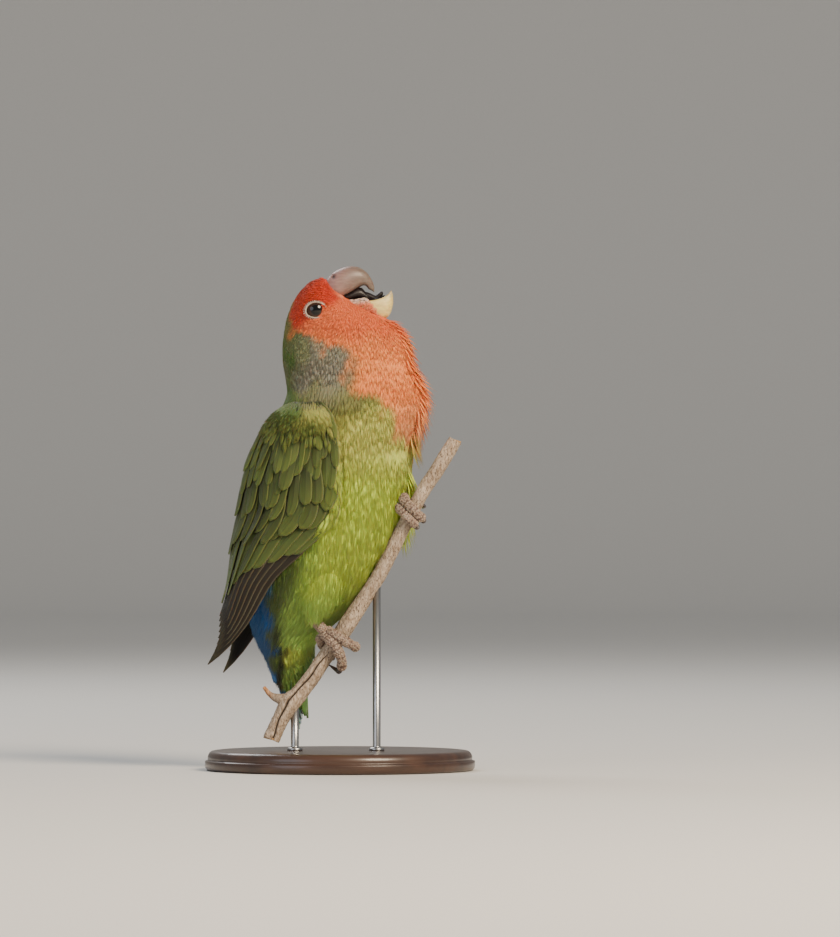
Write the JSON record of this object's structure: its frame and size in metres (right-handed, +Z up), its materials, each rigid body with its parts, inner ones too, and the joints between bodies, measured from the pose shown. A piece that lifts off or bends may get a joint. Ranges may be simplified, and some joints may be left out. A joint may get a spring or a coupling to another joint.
{
  "type": "peach-faced lovebird, life-size still museum model on a twig and stand",
  "caption": "Life-size peach-faced lovebird gripping an inclined twig, head raised and bill open, on a round stand with rods.",
  "frame": {"origin": "middle of the stand's underside, which lies in the plane z = 0", "axes": "+Z up, +X the way the bird faces, -Y towards the bird's right side"},
  "size_m": [0.1, 0.1, 0.1866],
  "materials": {
    "face_feathers": "soft matt feathers, red to salmon",
    "body_feathers": "soft matt feathers, yellow green",
    "wing_feathers": "smooth satin feathers, dark green",
    "tail_feathers": "smooth satin feathers, blue and green",
    "horn": "satin horn",
    "claw_horn": "satin dark horn",
    "tongue": "dull black",
    "eye": "polished dark",
    "leg_skin": "dry scaled skin, grey",
    "bark": "weathered bark, cracked",
    "base_wood": "dark stained, satin varnish",
    "rod_steel": "satin"
  },
  "bodies": {
    "root": {"head": "face_feathers", "neck": "face_feathers", "torso": "body_feathers", "wing_right": "wing_feathers", "wing_left": "wing_feathers", "tail": "tail_feathers", "thigh_right": "body_feathers", "shank_right": "leg_skin", "shank_left": "leg_skin", "foot_right": "leg_skin", "foot_left": "leg_skin", "claw_right_1": "claw_horn", "claw_right_2": "claw_horn", "claw_right_3": "claw_horn", "claw_right_4": "claw_horn", "claw_left_1": "claw_horn", "claw_left_2": "claw_horn", "claw_left_3": "claw_horn", "claw_left_4": "claw_horn", "eye_right": "eye", "eye_left": "eye", "bill_upper": "horn", "bill_lower": "horn", "tongue": "tongue", "perch": "bark", "stand_base": "base_wood", "stand_rod_lower": "rod_steel", "stand_rod_upper": "rod_steel"}
  },
  "joints": []
}
